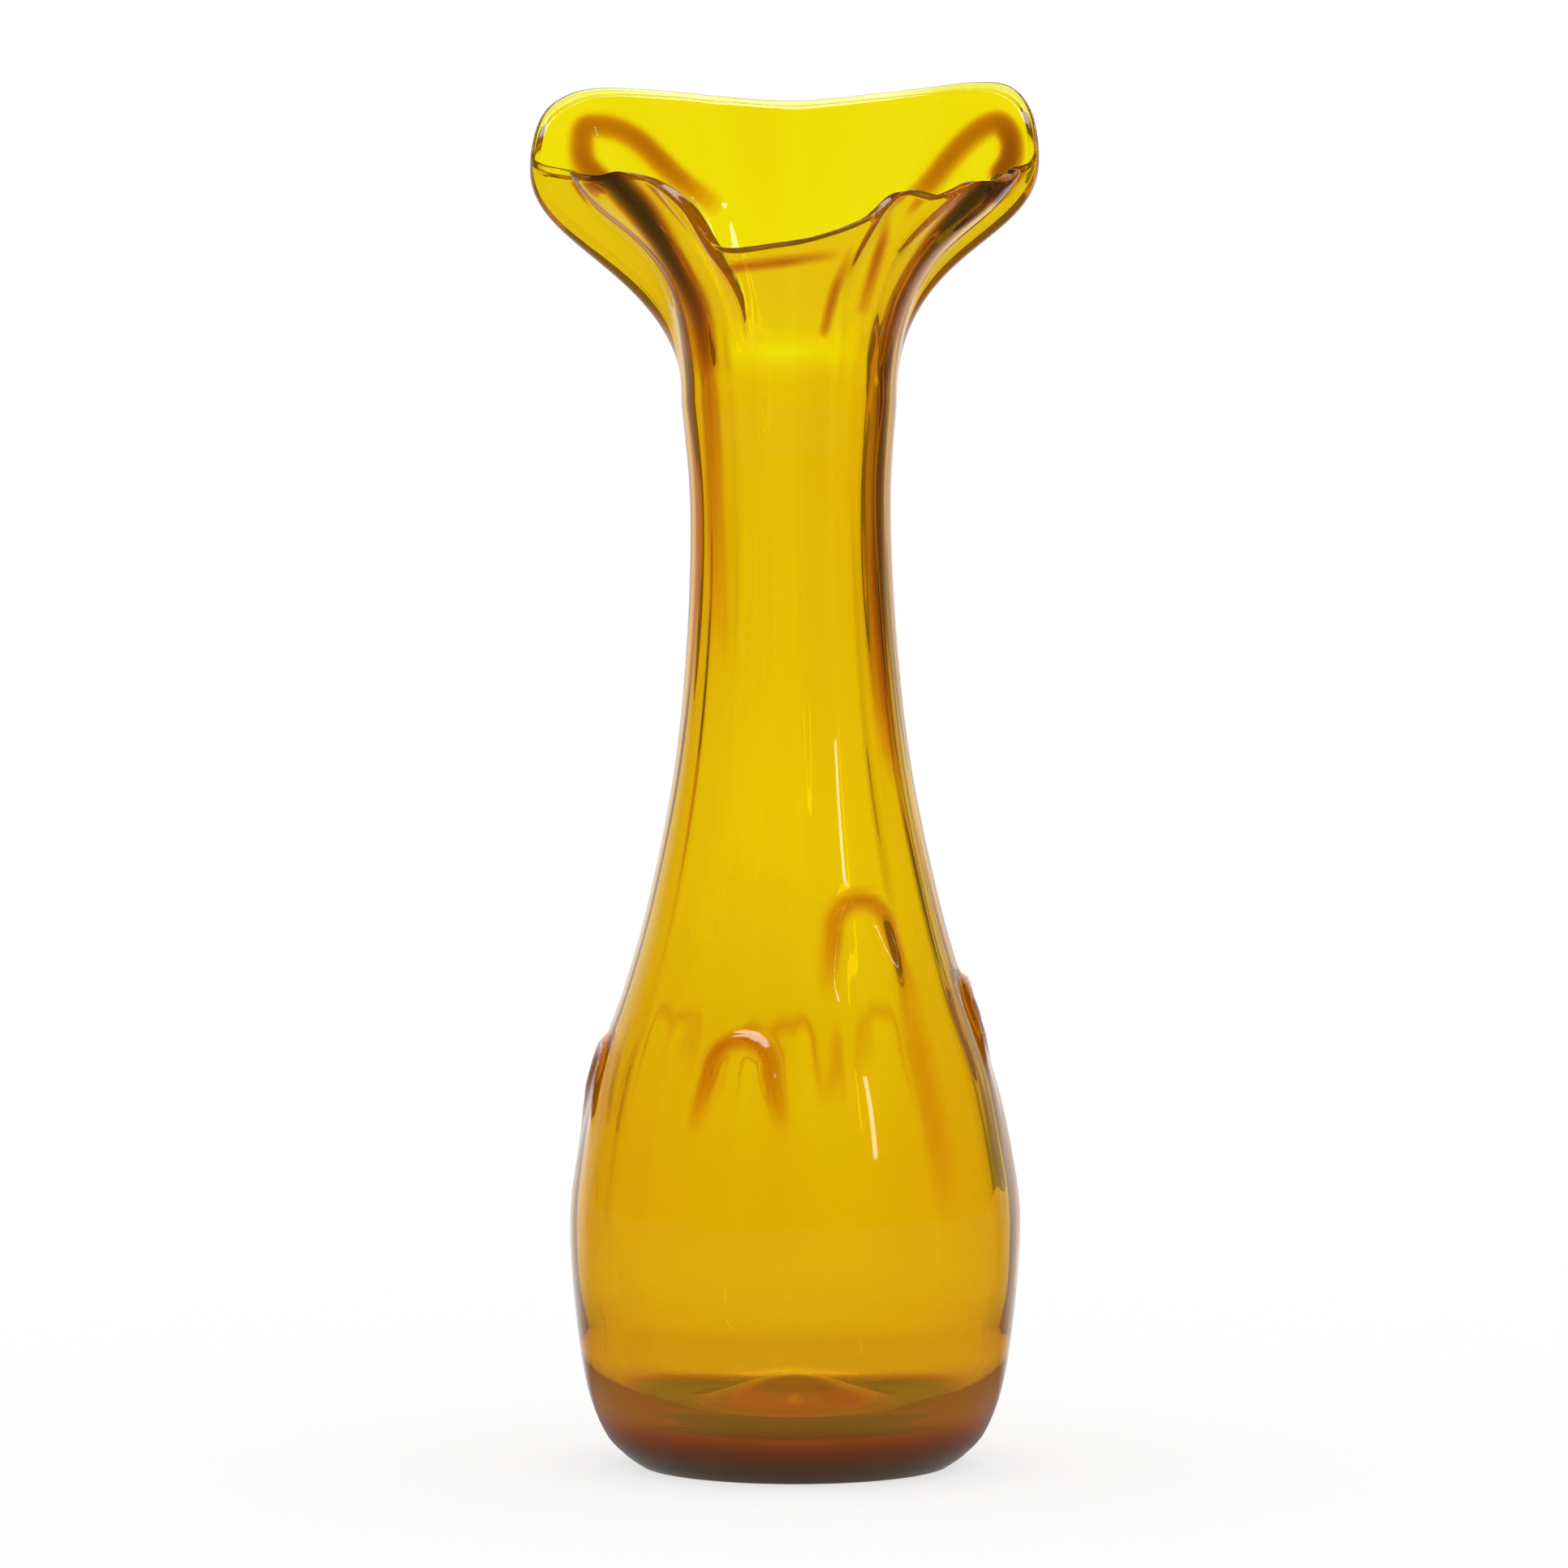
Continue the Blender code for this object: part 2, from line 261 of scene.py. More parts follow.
@dataclass(frozen=True)
class AmberGlass:
    """Clear amber glass whose colour deepens with the way that light goes through it.

    Attributes:
        name: Name of the material.
        tint: Colour whose distance from 1 is each channel's share of the density.
        density: Absorption per metre of glass where that distance is 1.
        glow: Light per metre that stands for the paths too long to follow.
        painted_shade_tint: Colour of painted shade at full strength, darkening the glass where
            refraction shows dark bands.
        painted_shade_limit: How soon each channel of that painted shade stops deepening.
        plain_colour: Colour in a view that shows no nodes.
        ior: Index of refraction.
        roughness: Roughness of the fire-polished skin.
        ripple: Height of the drawn ripples, in metres.
        ripple_scale: Ripples per metre across and along the vase.
        dimple: Height of the broad waves of the blown skin, in metres.
        dimple_scale: Broad waves per metre.
    """

    name: str = "amber_glass"
    tint: Colour = (0.9836, 0.9572, 0.0)
    density: float = 2500.0
    glow: Colour = (11.5, 9.5, 0.0)
    painted_shade_tint: Colour = (0.26, 0.0067, 0.002)
    painted_shade_limit: Colour = (0.0, 1.1, 1.1)
    plain_colour: Colour = (0.8, 0.5, 0.02)
    ior: float = 1.5
    roughness: float = 0.0
    ripple: float = 0.03 * MM
    ripple_scale: Pair = (110.0, 9.0)
    dimple: float = 0.12 * MM
    dimple_scale: float = 34.0

    def colour(self, write: ShaderWriter) -> Socket:
        """Writes the surface colour, darkened by painted shade along the creases and the nips and
        towards the foot.

        Args:
            write: Writer of the material's nodes.

        Returns:
            Socket of the colour.
        """
        # Painted shade: the stored attribute darkens the colour along creases and nips, and towards
        # the foot.
        painted_shade = write.add("ShaderNodeAttribute")
        painted_shade.attribute_name = "painted_shade"
        depth = painted_shade.outputs["Fac"]
        channels = []
        for channel, limit in zip(self.painted_shade_tint, self.painted_shade_limit):
            slowing = write.math("ADD", 1.0, write.times(depth, limit))
            slowed = write.math("DIVIDE", depth, slowing)
            channels.append(write.math("POWER", channel, slowed))
        return write.add("ShaderNodeCombineColor", dict(enumerate(channels))).outputs["Color"]

    def relief(self, write: ShaderWriter) -> Socket:
        """Writes the relief of the drawn ripples and broad waves.

        Args:
            write: Writer of the material's nodes.

        Returns:
            Socket of the normal.
        """
        place = write.add("ShaderNodeTexCoord").outputs["Object"]
        across, along = self.ripple_scale
        drawn = write.add("ShaderNodeMapping", {"Vector": place, "Scale": (across, across, along)})
        fine = write.add("ShaderNodeTexNoise", {
            "Vector": drawn.outputs["Vector"], "Scale": 1.0, "Detail": 1.0})
        broad = write.add("ShaderNodeTexNoise", {
            "Vector": place, "Scale": self.dimple_scale, "Detail": 0.0})
        height = write.math(
            "ADD", write.times(fine.outputs["Fac"], self.ripple),
            write.times(broad.outputs["Fac"], self.dimple))
        bump = write.add("ShaderNodeBump", {"Strength": 1.0, "Distance": 1.0, "Height": height})
        return bump.outputs["Normal"]

    def material(self) -> bpy.types.Material:
        """Builds the glass with its absorption, painted shade and drawn ripples.

        Returns:
            The finished node material.
        """
        material = bpy.data.materials.new(self.name)
        material.use_nodes = True
        material.diffuse_color = (*self.plain_colour, 1.0)
        write, nodes = ShaderWriter(material.node_tree), material.node_tree.nodes
        write.fill(nodes["Principled BSDF"], {
            "Roughness": self.roughness, "IOR": self.ior, "Transmission Weight": 1.0,
            "Base Color": self.colour(write), "Normal": self.relief(write),
        })
        absorb = write.add("ShaderNodeVolumeAbsorption", {
            "Color": (*self.tint, 1.0), "Density": self.density})
        glow = write.add("ShaderNodeEmission", {"Color": (*self.glow, 1.0), "Strength": 1.0})
        both = write.add("ShaderNodeAddShader", {
            0: absorb.outputs["Volume"], 1: glow.outputs["Emission"]})
        write.join(both.outputs["Shader"], nodes["Material Output"].inputs["Volume"])
        return material


@dataclass(frozen=True)
class PaleFloor:
    """White table top that keeps the vase's shadow.

    Attributes:
        name: Name of the material.
        albedo: How white the table is.
        roughness: How matt it is.
        glow_share: Share of its look that no shadow darkens, as the camera sees it.
        near_gloss: Its brightness in the gloss that looks to the side or the front.
        far_gloss: Its brightness in the gloss that looks to the back.
        gloss_height: Height above the floor that the ways back start from.
        pool_gloss: What the floor close to the foot adds to the gloss.
        pool_reach: Distances from the vase where that starts to fade and ends.
    """

    name: str = "pale_floor"
    albedo: float = 0.98
    roughness: float = 0.9
    glow_share: float = 0.7
    near_gloss: float = 0.1
    far_gloss: float = 0.9
    gloss_height: float = 60.0 * MM
    pool_gloss: float = 0.17
    pool_reach: Pair = (60.0 * MM, 140.0 * MM)

    def gloss(self, write: ShaderWriter) -> Socket:
        """Writes the floor's brightness in the gloss on the glass.

        Args:
            write: Writer of the material's nodes.

        Returns:
            Socket of the brightness, where 1 is white.
        """
        place = write.add("ShaderNodeTexCoord").outputs["Object"]
        across, back, _ = write.add("ShaderNodeSeparateXYZ", {0: place}).outputs
        square = write.square_sum(across, back)
        slant = write.math("SQRT", write.math("ADD", square, self.gloss_height ** 2))
        onward = write.math("DIVIDE", back, slant)
        pool = write.ramp(write.math("SQRT", square), *self.pool_reach, self.pool_gloss, 0.0)
        reach = write.ramp(onward, *BACKWARD, self.near_gloss, self.far_gloss)
        return write.math("ADD", reach, pool)

    def material(self) -> bpy.types.Material:
        """Builds a white floor that shows white wherever no shadow falls.

        Returns:
            The finished node material.
        """
        material = bpy.data.materials.new(self.name)
        material.use_nodes = True
        write, nodes = ShaderWriter(material.node_tree), material.node_tree.nodes
        write.fill(nodes["Principled BSDF"], {
            "Base Color": (*[self.albedo] * 3, 1.0),
            "Roughness": self.roughness, "Specular IOR Level": 0.0,
        })
        rays = write.add("ShaderNodeLightPath")
        seen = write.times(rays.outputs["Is Camera Ray"], self.glow_share)
        # With this strength, the glow and the lit floor add up to white.
        strength = (1 - (1 - self.glow_share) * self.albedo) / self.glow_share
        glow = write.add("ShaderNodeEmission", {"Strength": strength})
        lit = write.blend(seen, nodes["Principled BSDF"].outputs["BSDF"], glow.outputs["Emission"])
        dim = write.add("ShaderNodeEmission", {"Strength": self.gloss(write)})
        look = write.blend(write.mirrored(rays), lit, dim.outputs["Emission"])
        write.join(look, nodes["Material Output"].inputs["Surface"])
        return material


class Side(Enum):
    """Side of the vase that a crease lies on, as the sign of its depth."""

    FRONT = -1.0
    BACK = 1.0


@dataclass(frozen=True)
class Crease:
    """Line of thicker glass with painted shade along it, placed as it looks from the front.

    Attributes:
        side: Side of the vase that carries it.
        path: Points of the line as (across, height), in millimetres.
        levels: Strength at even steps along the line.
        half_width: Reach to either side.
        inward: Extra glass on the inner surface.
        painted_shade: How much painted shade it adds to the colour.
        catch: How near a point has to look to the line to give it its depth.
    """

    side: Side
    path: tuple[Pair, ...]
    levels: tuple[float, ...]
    half_width: float
    inward: float
    painted_shade: float
    catch: float = 1.5 * MM

    def strengths(self, grid: Grid) -> tuple[Array, Array]:
        """Strengths of the crease at points of the outer surface.

        Args:
            grid: The points.

        Returns:
            Soft strength of the relief and crisper strength of the painted shade, one of
            each for each point.
        """
        path = np.array(self.path) * MM
        line = smooth_along(path, np.linspace(0.0, len(path) - 1.0, LINE_STEPS))
        flat = np.linalg.norm(grid[..., None, (0, 2)] - line, axis=-1)
        # The line lies on the outermost glass that looks close to it on its side.
        outness = self.side.value * grid[..., 1]
        flat_here = np.where(outness[..., None] > 0, flat, BEYOND)
        close = flat_here < np.maximum(self.catch, flat_here.min(axis=(0, 1)) + HAIR)
        outermost = np.where(close, outness[..., None], -BEYOND).max(axis=(0, 1))
        padded = np.pad(outermost, LINE_EVENING, mode="edge")
        window = 2 * LINE_EVENING + 1
        depth = self.side.value * np.convolve(padded, np.full(window, 1 / window), mode="valid")
        reach = np.hypot(flat, grid[..., 1, None] - depth)
        along = np.linspace(0.0, 1.0, LINE_STEPS)
        level = np.interp(along, np.linspace(0.0, 1.0, len(self.levels)), self.levels)
        here = level[reach.argmin(axis=-1)]
        share = reach.min(axis=-1) / self.half_width
        return here * np.exp(-share ** 2), here * np.exp(-share ** 4)


@dataclass(frozen=True)
class Wave:
    """One slow wave in the thickness of a wall that was blown and drawn by hand.

    Attributes:
        turns: Waves once round the vase.
        climb: Waves per metre of height.
        phase: Start of the wave, in turns.
        height: Most that it adds or takes away.
    """

    turns: int
    climb: float
    phase: float
    height: float

    def at(self, bearings: Array, heights: Array) -> Array:
        """Thickness that the wave adds at bearings and heights."""
        start = FULL_TURN * (self.climb * heights + self.phase)
        return self.height * np.sin(self.turns * bearings + start)


@dataclass
class BlownWall:
    """The blown wall of the vase: foot, bowl, neck and two-eared collar."""

    # Outline. The shares pair the rise to the next level with the way to its radius.
    base_radius: float = 33.0 * MM
    bowl_radius: float = 48.2 * MM
    bowl_height: float = 52.0 * MM
    neck_radius: float = 21.5 * MM
    neck_height: float = 205.0 * MM
    neck_top_radius: float = 23.0 * MM
    collar_start: float = 226.0 * MM
    heel_shares: tuple[Pair, ...] = (
        (0.0, 0.0), (0.05, 0.24), (0.14, 0.51), (0.33, 0.755), (0.63, 0.912), (1.0, 1.0),
    )
    shoulder_shares: tuple[Pair, ...] = (
        (0.0, 0.0), (0.098, 0.06), (0.209, 0.2), (0.32, 0.434), (0.451, 0.648),
        (0.634, 0.858), (0.817, 0.966), (1.0, 1.0),
    )

    # Collar. Each rim point has shares of the ear's reach across, the lip's reach in
    # depth, the rise, the flare and the throat.
    rim_height: float = 298.0 * MM
    ear_reach: float = 54.4 * MM
    lip_reach: float = 34.0 * MM
    lean: float = 2.5 * MM
    flare_share: float = 0.30
    rim_shares: tuple[tuple[float, ...], ...] = (
        (-0.05, -0.86, 0.415, 0.42, 0.57), (-0.21, -0.82, 0.405, 0.4, 0.6),
        (-0.3, -0.8, 0.435, 0.43, 0.6), (-0.39, -0.79, 0.535, 0.5, 0.58),
        (-0.5, -0.74, 0.605, 0.55, 0.6), (-0.62, -0.66, 0.635, 0.5, 0.67),
        (-0.71, -0.55, 0.63, 0.45, 0.73), (-0.82, -0.34, 0.655, 0.35, 0.79),
        (-0.82, -0.12, 0.67, 0.2, 0.8), (-0.95, 0.06, 0.7, 0.0, 0.65),
        (-1.0, 0.22, 0.74, -0.1, 0.55), (-0.975, 0.37, 0.848, 0.0, 0.55),
        (-0.9, 0.5, 0.918, 0.1, 0.55), (-0.76, 0.65, 0.963, 0.2, 0.55),
        (-0.5, 0.8, 0.968, 0.25, 0.5), (0.0, 0.98, 0.948, 0.25, 0.5),
        (0.41, 0.9, 0.968, 0.25, 0.5), (0.74, 0.68, 0.983, 0.2, 0.5),
        (0.9, 0.52, 0.963, 0.1, 0.55), (0.985, 0.37, 0.888, 0.0, 0.6),
        (1.01, 0.22, 0.78, -0.1, 0.64), (0.98, 0.08, 0.71, 0.0, 0.68),
        (0.89, -0.06, 0.68, 0.2, 0.7), (0.92, -0.22, 0.665, 0.3, 0.75),
        (0.86, -0.42, 0.62, 0.45, 0.75), (0.74, -0.56, 0.612, 0.5, 0.69),
        (0.6, -0.68, 0.568, 0.5, 0.64), (0.47, -0.76, 0.575, 0.5, 0.6),
        (0.33, -0.82, 0.495, 0.45, 0.55), (0.14, -0.87, 0.44, 0.45, 0.55),
    )

    # Folds of the ears in front with their ends on the neck, loops behind, streaks
    # under the front lip and a soft one on the bowl. Each adds glass inside and paints
    # shade into the colour along its line.
    creases: tuple[Crease, ...] = (
        Crease(
            Side.FRONT, ((-41.3, 274.0), (-37.6, 269.2), (-33.3, 264.4), (-29.4, 258.1),
                (-26.1, 252.3), (-22.0, 243.7), (-19.8, 231.1)),
            (2.0, 2.0, 2.0, 1.9, 1.7, 1.0, 0.0), 3.3 * MM, 0.7 * MM, 1.15),
        Crease(
            Side.FRONT, ((-22.0, 243.7), (-19.8, 231.1), (-18.4, 207.6), (-16.9, 171.7)),
            (0.2, 0.8, 0.4, 0.0), 1.7 * MM, 0.3 * MM, 0.8),
        Crease(
            Side.FRONT, ((46.6, 277.8), (43.9, 273.5), (41.1, 270.1), (36.0, 264.4),
                (30.5, 257.6), (23.5, 245.3), (19.4, 231.1)),
            (2.0, 2.0, 2.0, 1.9, 1.7, 1.0, 0.0), 3.3 * MM, 0.7 * MM, 1.15),
        Crease(
            Side.FRONT, ((24.5, 247.0), (20.0, 231.1), (18.7, 216.2), (18.2, 190.5),
                (19.8, 164.8), (22.6, 146.0)),
            (0.6, 1.3, 1.2, 1.2, 0.6, 0.0), 2.3 * MM, 0.3 * MM, 0.9),
        Crease(
            Side.BACK, ((-43.0, 275.0), (-46.4, 279.0), (-47.1, 283.4), (-46.4, 286.9),
                (-43.0, 287.6), (-38.6, 286.6), (-34.2, 283.9), (-29.6, 279.4),
                (-25.2, 275.5), (-16.8, 269.7)),
            (1.4, 1.2, 1.0, 1.0, 0.9, 0.9, 1.0, 1.0, 0.8, 0.0), 2.4 * MM, 0.6 * MM, 0.45),
        Crease(
            Side.BACK, ((45.9, 276.0), (47.9, 279.7), (47.9, 284.5), (44.9, 287.8),
                (40.1, 285.7), (34.8, 280.4), (30.1, 274.4), (24.3, 269.3)),
            (2.0, 2.0, 1.6, 1.1, 1.0, 1.0, 0.9, 0.0), 2.4 * MM, 0.6 * MM, 0.45),
        Crease(
            Side.FRONT, ((-14.0, 251.8), (-2.0, 253.0), (9.3, 254.6)),
            (1.0, 1.0, 0.2), 1.1 * MM, 0.3 * MM, 0.5),
        Crease(
            Side.FRONT, ((12.7, 255.2), (9.0, 248.0), (6.4, 239.6)),
            (0.4, 1.0, 0.3), 1.0 * MM, 0.3 * MM, 0.6),
        Crease(
            Side.FRONT, ((22.0, 267.2), (18.0, 256.0), (14.9, 244.6)),
            (0.6, 1.0, 0.3), 1.1 * MM, 0.3 * MM, 0.6),
        Crease(
            Side.FRONT, ((24.1, 104.9), (26.8, 90.0), (30.7, 71.2), (32.5, 54.4)),
            (0.4, 1.0, 0.8, 0.0), 3.2 * MM, 0.6 * MM, 0.1),
    )

    # Thickness. It swells at the heel and the neck's sides, and is drawn thin under
    # the collar, in the ears and at the rim's edge.
    waves: tuple[Wave, ...] = (
        Wave(3, 5.0, 0.10, 0.16 * MM), Wave(7, -3.0, 0.62, 0.13 * MM),
        Wave(12, 2.0, 0.35, 0.11 * MM), Wave(19, -1.5, 0.80, 0.08 * MM),
        Wave(31, 1.0, 0.27, 0.05 * MM), Wave(2, 17.0, 0.45, 0.10 * MM),
        Wave(0, 6.1, 0.957, 0.45 * MM),
    )
    wave_foot: Pair = (26.0 * MM, 60.0 * MM)
    bowl_wall: float = 3.9 * MM
    rim_wall: float = 3.0 * MM
    side_swell: float = 0.5 * MM
    side_rise: Pair = (0.4, 0.9)
    heel_swell: float = 1.5 * MM
    heel_fade: Pair = (22.0 * MM, 40.0 * MM)
    ear_thinning: float = 0.7 * MM
    ear_rise: float = 0.5
    draw_height: float = 236.2 * MM
    draw_reach: float = 6.6 * MM
    draw_thinning: float = 2.0 * MM
    bead_rise: float = 1.4 * MM
    edge_share: float = 0.35
    edge_reach: float = 0.022

    # Cavity floor with its round corner and the mound in its middle.
    floor_height: float = 9.0 * MM
    floor_corner: float = 17.0 * MM
    floor_rise: float = 16.0 * MM
    kick_up: float = 10.0 * MM
    kick_radius: float = 24.0 * MM

    # Colour darkened towards the foot, and the height of that darkening.
    foot_darkening: float = 3.1
    foot_shade: float = 13.0 * MM

    # Points round the vase, and rows from the foot over the rim to the floor.
    around: int = 256
    heel_rows: int = 22
    nip_top: float = 128.0 * MM
    nip_rows: int = 60
    neck_rows: int = 26
    collar_rows: int = 66
    edge_rows: int = 7
    bead_rows: int = 7
    floor_rows: int = 24
    outline: Array = field(init=False)

    def __post_init__(self) -> None:
        """Works out the outline of foot, bowl and neck from the named sizes."""
        base = np.array([self.base_radius, 0.0])
        bowl = np.array([self.bowl_radius, self.bowl_height])
        neck = np.array([self.neck_radius, self.neck_height])
        heel, shoulder = np.array(self.heel_shares), np.array(self.shoulder_shares[1:])
        self.outline = np.concatenate([
            base + heel[:, ::-1] * (bowl - base), bowl + shoulder[:, ::-1] * (neck - bowl),
            [[self.neck_top_radius, self.collar_start]],
        ])

    @property
    def bearings(self) -> Array:
        """Bearings of the wall's points, once round."""
        return FULL_TURN * np.arange(self.around) / self.around

    @property
    def collar_place(self) -> int:
        """Place along the outline where the collar starts."""
        return len(self.outline) - 1

    def lean_at(self, heights: Array) -> Array:
        """Sideways lean of the axis at heights above the bowl."""
        share = (heights - self.bowl_height) / (self.rim_height - self.bowl_height)
        return -self.lean * np.clip(share, 0.0, 1.0) ** 2

    def body_grid(self, bearings: Array, places: Array) -> Grid:
        """Outer points of foot, bowl and neck.

        Args:
            bearings: Bearings of the columns.
            places: Places of the rows along the outline.

        Returns:
            The points.
        """
        radii, heights = smooth_along(self.outline, places).T
        grid = radii[:, None, None] * level_direction(bearings)[None]
        grid[..., 0] += self.lean_at(heights)[:, None]
        grid[..., 2] = heights[:, None]
        return grid

    def rim_at(self, bearings: Array) -> tuple[Array, Array, Array]:
        """Outer edge of the rim and how the wall comes up to it.

        Args:
            bearings: Bearings counted from the front lip towards +X.

        Returns:
            Points of the rim, unit directions of the wall there and throat shares,
            one row for each bearing.
        """
        shares = np.array(self.rim_shares)
        places = np.linspace(0.0, len(shares), RIM_STEPS)
        curve = smooth_along(shares, places, closed=True)
        found = np.unwrap(np.arctan2(curve[:, 0], -curve[:, 1]))
        wanted = (bearings - found[0]) % FULL_TURN + found[0]
        wanted = np.where(wanted > found[0], wanted - FULL_TURN, wanted)
        at = np.interp(-wanted, -found, places)
        across, depth, rise, flare, throat = smooth_along(shares, at, closed=True).T
        level = np.stack(
            [across * self.ear_reach, depth * self.lip_reach, np.zeros_like(across)], axis=-1)
        edge = level.copy()
        edge[:, 0] -= self.lean
        edge[:, 2] = self.collar_start + rise * (self.rim_height - self.collar_start)
        outward = level / np.linalg.norm(level, axis=1, keepdims=True)
        tilt = QUARTER_TURN * flare
        upward = outward * np.sin(tilt)[:, None]
        upward[:, 2] = np.cos(tilt)
        return edge, upward, throat

    def collar_grid(self, bearings: Array, shares: Array) -> Grid:
        """Outer points of the collar, swept from the neck up and out to the rim.

        Args:
            bearings: Bearings of the columns.
            shares: Shares of the sweep, 0 at the neck and 1 at the rim.

        Returns:
            The points.
        """
        start = self.body_grid(bearings, np.array([float(self.collar_place)]))[0]
        end, upward, throat = self.rim_at(bearings)
        sweep = np.linalg.norm(end - start, axis=1, keepdims=True)
        first = start.copy()
        first[:, 2] += throat * (end[:, 2] - start[:, 2])
        second = end - upward * self.flare_share * sweep
        part = shares[:, None, None]
        rest = 1 - part
        return (
            start * rest ** 3 + 3 * first * rest ** 2 * part
            + 3 * second * rest * part ** 2 + end * part ** 3
        )

    def outer_grid(self, bearings: Array, places: Array) -> Grid:
        """Outer points of the whole wall.

        Args:
            bearings: Bearings of the columns.
            places: Places of the rows, along the outline and then up the collar.

        Returns:
            The points.
        """
        low = places[places <= self.collar_place]
        high = places[places > self.collar_place] - self.collar_place
        return np.concatenate([self.body_grid(bearings, low), self.collar_grid(bearings, high)])

    def outward_grid(self, bearings: Array, places: Array) -> Grid:
        """Unit normals of the outer surface.

        Args:
            bearings: Bearings of the columns.
            places: Places of the rows.

        Returns:
            The directions.
        """
        step = 1e-3
        top = float(self.collar_place + 1)
        high, low = np.minimum(places + step, top), np.maximum(places - step, 0.0)
        along = self.outer_grid(bearings, high) - self.outer_grid(bearings, low)
        around = self.outer_grid(bearings + step, places) - self.outer_grid(bearings - step, places)
        normal = np.cross(around, along)
        return normal / np.linalg.norm(normal, axis=2, keepdims=True)

    def wall_at(self, grid: Grid) -> Array:
        """Thickness of the glass behind points of the outer surface.

        Args:
            grid: The points.

        Returns:
            One thickness for each point.
        """
        heights = grid[..., 2]
        share = (heights - self.bowl_height) / (self.neck_height - self.bowl_height)
        wall = self.bowl_wall + np.clip(share, 0.0, 1.0) * (self.rim_wall - self.bowl_wall)
        across = grid[..., 0] - self.lean_at(heights)
        sideways = across ** 2 / (across ** 2 + grid[..., 1] ** 2)
        wall = wall + self.side_swell * sideways * ramp(share, *self.side_rise)
        wall = wall + self.heel_swell * (1 - ramp(heights, *self.heel_fade))
        drawn = np.exp(-((heights - self.draw_height) / self.draw_reach) ** 2)
        wall = wall - self.draw_thinning * drawn * ramp(1 - sideways, 0.0, 1.0)
        up = (heights - self.collar_start) / (self.rim_height - self.collar_start)
        return wall - self.ear_thinning * sideways * ramp(up, 0.0, self.ear_rise)

    def glass_at(self, outer: Grid, places: Array) -> tuple[Array, Array]:
        """Thickness of the glass and the painted shade on it, with its waves and creases.

        Args:
            outer: Points of the outer surface.
            places: Place of each row.

        Returns:
            One thickness and one painted shade for each point.
        """
        heights = outer[..., 2]
        uneven = sum(wave.at(self.bearings, heights) for wave in self.waves)
        wall = self.wall_at(outer) + uneven * ramp(heights, *self.wave_foot)
        # The colour is darker towards the foot.
        painted_shade = self.foot_darkening * (1 - ramp(heights, 0.0, self.foot_shade))
        # Each crease adds glass on the inner surface and painted shade to the colour.
        for crease in self.creases:
            relief, shade_share = crease.strengths(outer)
            wall = wall + relief * crease.inward
            painted_shade = painted_shade + shade_share * crease.painted_shade
        near = ramp(self.collar_place + 1 - places, 0.0, self.edge_reach)[:, None]
        return wall * (self.edge_share + (1 - self.edge_share) * near), painted_shade

    def places(self) -> Array:
        """Places of the rows from the foot up to the rim, closest round the nips.

        Returns:
            Places along the outline and then up the collar, which is one place tall.
        """
        heel, collar = len(self.heel_shares) - 1, self.collar_place
        fine = np.linspace(heel, collar, OUTLINE_STEPS)
        nip_place = np.interp(self.nip_top, smooth_along(self.outline, fine)[:, 1], fine)
        edge = collar + 1 - self.edge_reach
        return np.concatenate([
            np.linspace(0, heel, self.heel_rows, endpoint=False),
            np.linspace(heel, nip_place, self.nip_rows, endpoint=False),
            np.linspace(nip_place, collar, self.neck_rows, endpoint=False),
            np.linspace(collar, edge, self.collar_rows, endpoint=False),
            np.linspace(edge, collar + 1, self.edge_rows),
        ])

    def bead_grid(self, outer: Grid, inner: Grid) -> Grid:
        """Rows of the round bead that closes the wall at the rim.

        Args:
            outer: Outer points of the wall.
            inner: Inner points of the wall.

        Returns:
            The points.
        """
        middle = (outer[-1] + inner[-1]) / 2
        half = outer[-1] - middle
        upward = outer[-1] - outer[-2]
        upward /= np.linalg.norm(upward, axis=1, keepdims=True)
        turns = math.pi * np.arange(1, self.bead_rows + 1) / (self.bead_rows + 1)
        return np.array([
            middle + half * math.cos(turn) + upward * self.bead_rise * math.sin(turn)
            for turn in turns
        ])

    def floor_grid(self, wall_row: Array) -> Grid:
        """Rows of the cavity floor from the lowest row of the wall to the middle.

        Args:
            wall_row: Lowest row of the inner wall.

        Returns:
            The points.
        """
        half_rows = self.floor_rows // 2
        start = wall_row[:, 2].mean()
        level = wall_row * (1.0, 1.0, 0.0)
        reach = np.linalg.norm(level, axis=1, keepdims=True)
        rows = []
        for turn in QUARTER_TURN * np.arange(1, half_rows + 1) / half_rows:
            row = level / reach * (reach - self.floor_corner * (1 - math.cos(turn)))
            row[:, 2] = start - (start - self.floor_height) * math.sin(turn)
            rows.append(row)
        edge = rows[-1] * (1.0, 1.0, 0.0)
        radius = np.linalg.norm(edge, axis=1).mean()
        for share in np.linspace(1.0, 0.0, half_rows + 1)[1:-1]:
            row = edge * share
            near = min(1.0, share * radius / self.kick_radius)
            row[:, 2] = self.floor_height + self.kick_up * (1 - near * near) ** 2
            rows.append(row)
        return np.array(rows)

